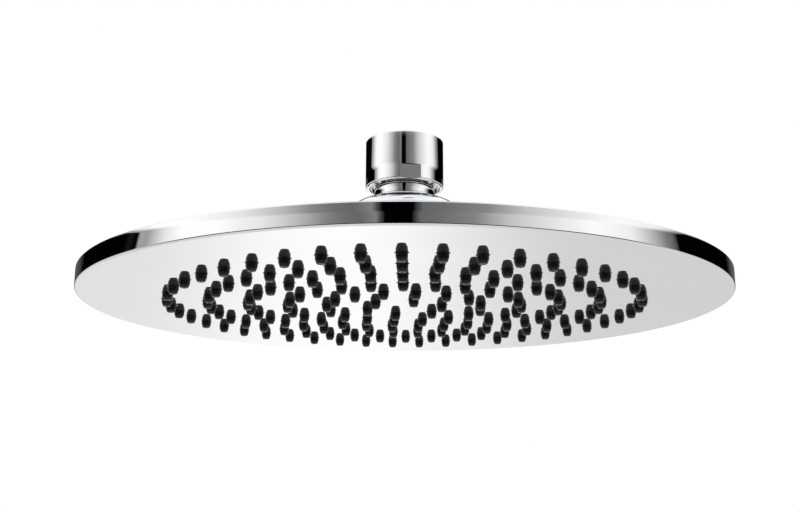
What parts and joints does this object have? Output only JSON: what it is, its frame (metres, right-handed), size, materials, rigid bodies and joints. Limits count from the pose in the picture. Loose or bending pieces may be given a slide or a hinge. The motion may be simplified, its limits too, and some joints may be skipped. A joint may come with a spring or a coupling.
{
  "type": "shower head",
  "caption": "Round overhead shower head: flat spray face with silicone nozzles, upright rim, domed back shell and a swivel collar with an inlet thread on a tilting ball joint.",
  "frame": {"origin": "on the axis of the inlet thread, at its outer end, 0.6 mm below the top of the swivel collar, where the mouth chamfer stops", "axes": "+Z along the inlet axis, out of the collar's mouth towards the pipe; the head hangs below in -Z with its face level; +Y away from the wrench flat that faces the front, turned 9.5 degrees; +X to the right seen from the front"},
  "size_m": [0.25, 0.25, 0.0709],
  "materials": {
    "chrome": "bright chrome plate on turned brass",
    "polished_face": "mirror-polished stainless sheet",
    "polished_shell": "mirror-polished stainless sheet",
    "silicone": "satin black silicone",
    "black_rubber": "matt black rubber",
    "white_plastic": "moulded satin",
    "grey_plastic": "moulded satin",
    "brass": "turned",
    "steel": "plain stainless"
  },
  "bodies": {
    "collar": {"swivel_collar": "chrome", "inlet_washer": "black_rubber", "filter_screen": "steel", "thrust_ring": "white_plastic", "ball_seal": "black_rubber"},
    "seat": {"seat_ring": "white_plastic"},
    "head": {"flow_regulator": "white_plastic", "regulator_ring": "black_rubber", "ball_stem": "chrome", "stem_seal": "black_rubber", "neck_boss": "chrome", "boss_gasket": "black_rubber", "boss_nut": "brass", "back_shell": "polished_shell", "water_spreader": "grey_plastic", "spreader_screws": "steel", "distribution_plate": "white_plastic", "chamber_seal": "black_rubber", "nozzle_mat": "silicone", "spray_face": "polished_face", "face_studs": "steel", "stud_nuts": "steel"}
  },
  "joints": [
    {"name": "swivel", "type": "hinge", "parent": "collar", "child": "seat", "pos_m": [0, 0, -0.0134], "axis": [0, 0, 1], "continuous": true},
    {"name": "tilt", "type": "hinge", "parent": "seat", "child": "head", "pos_m": [0, 0, -0.0134], "axis": [1, 0, 0], "range_deg": [-10, 10]}
  ]
}
